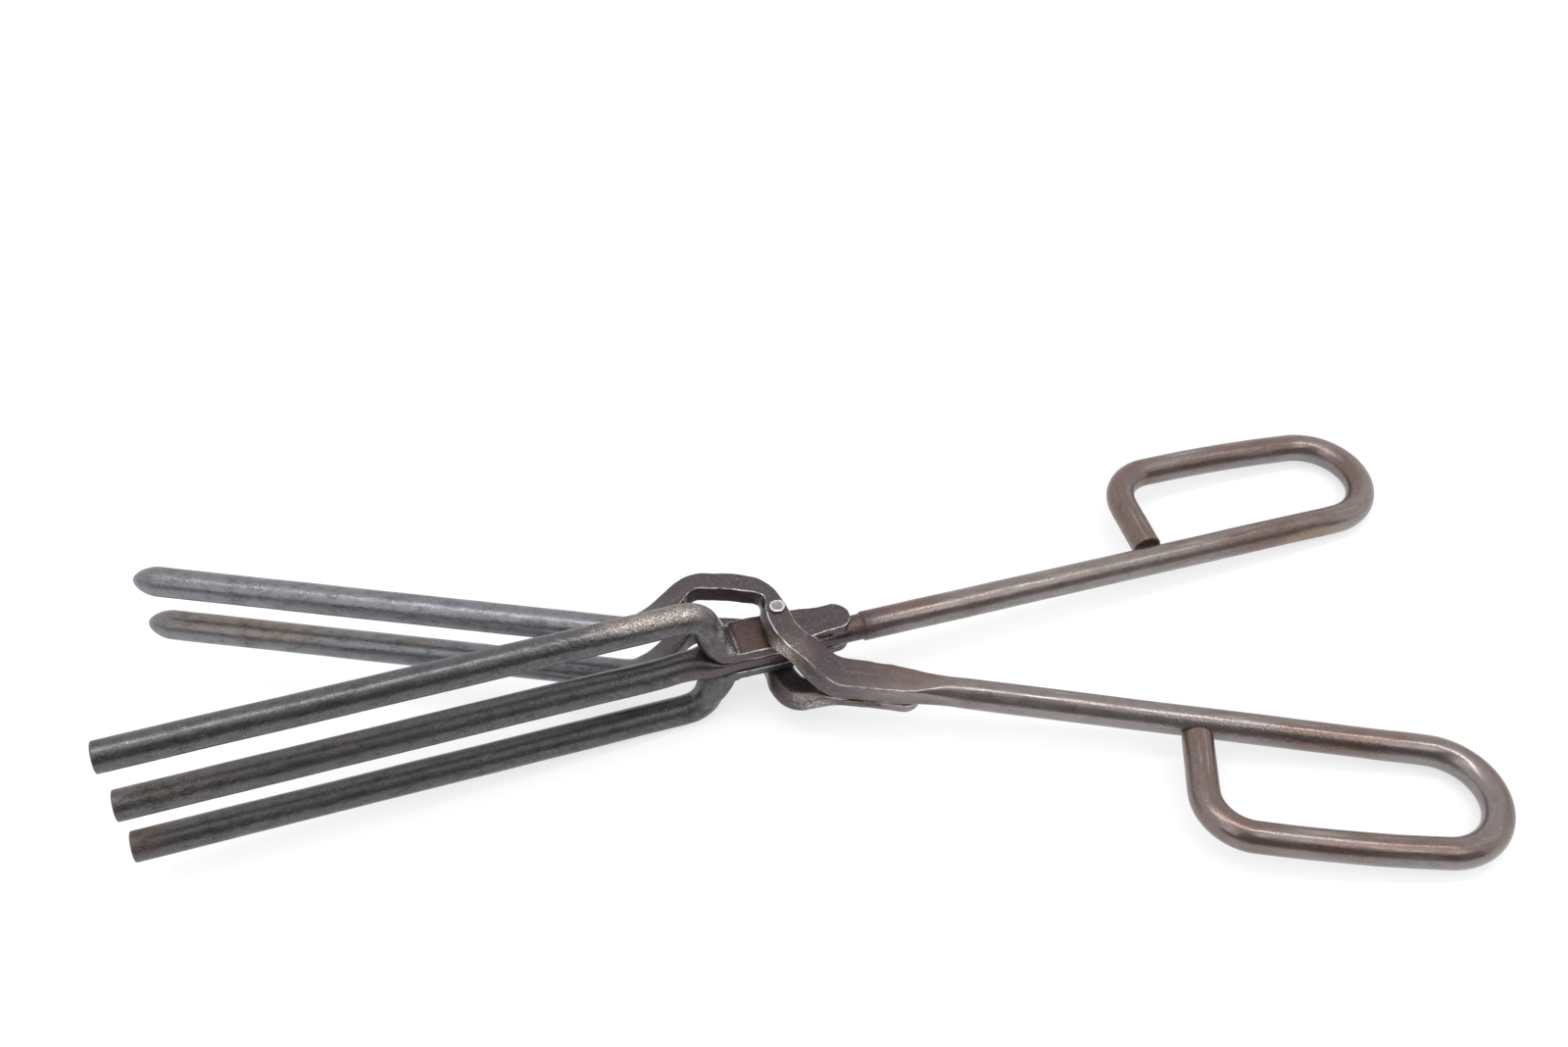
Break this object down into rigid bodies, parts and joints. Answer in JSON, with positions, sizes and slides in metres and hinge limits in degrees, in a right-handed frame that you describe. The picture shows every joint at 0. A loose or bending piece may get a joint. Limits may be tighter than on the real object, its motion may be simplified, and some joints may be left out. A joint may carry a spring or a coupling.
{
  "type": "hair waving iron",
  "caption": "Riveted hair waving iron: a row of round forged prongs closes through a pointed fork; each handle rod ends in a bent finger loop.",
  "frame": {"origin": "middle of the footprint in the pose of the picture, at the level of the lowest prong", "axes": "+X from the prongs to the finger loops along the bisector of the two handles, +Z along the rivet, +Y across the tool in the plane of opening"},
  "size_m": [0.2713, 0.1178, 0.035],
  "materials": {
    "brown_iron": "forged iron, brown with age, satin where hands rub it",
    "black_iron": "forged iron, blackened by heat, finely pitted",
    "grey_iron": "forged iron, blue-grey from heat",
    "rivet_iron": "peened iron, bright on the hammered edge",
    "braze_metal": "dull brazing metal"
  },
  "bodies": {
    "three_prong_half": {"centre_bar": "brown_iron", "upper_prong_bar": "black_iron", "lower_prong_bar": "black_iron", "upper_braze": "braze_metal", "lower_braze": "braze_metal"},
    "fork_half": {"handle_bar": "brown_iron", "fork_lower_bar": "grey_iron", "rivet": "rivet_iron", "fork_braze": "braze_metal"}
  },
  "joints": [
    {"name": "pivot", "type": "hinge", "parent": "three_prong_half", "child": "fork_half", "pos_m": [-0.00493, 0.00571, 0.01678], "axis": [0, 0, 1], "range_deg": [-52, 22.5]}
  ]
}
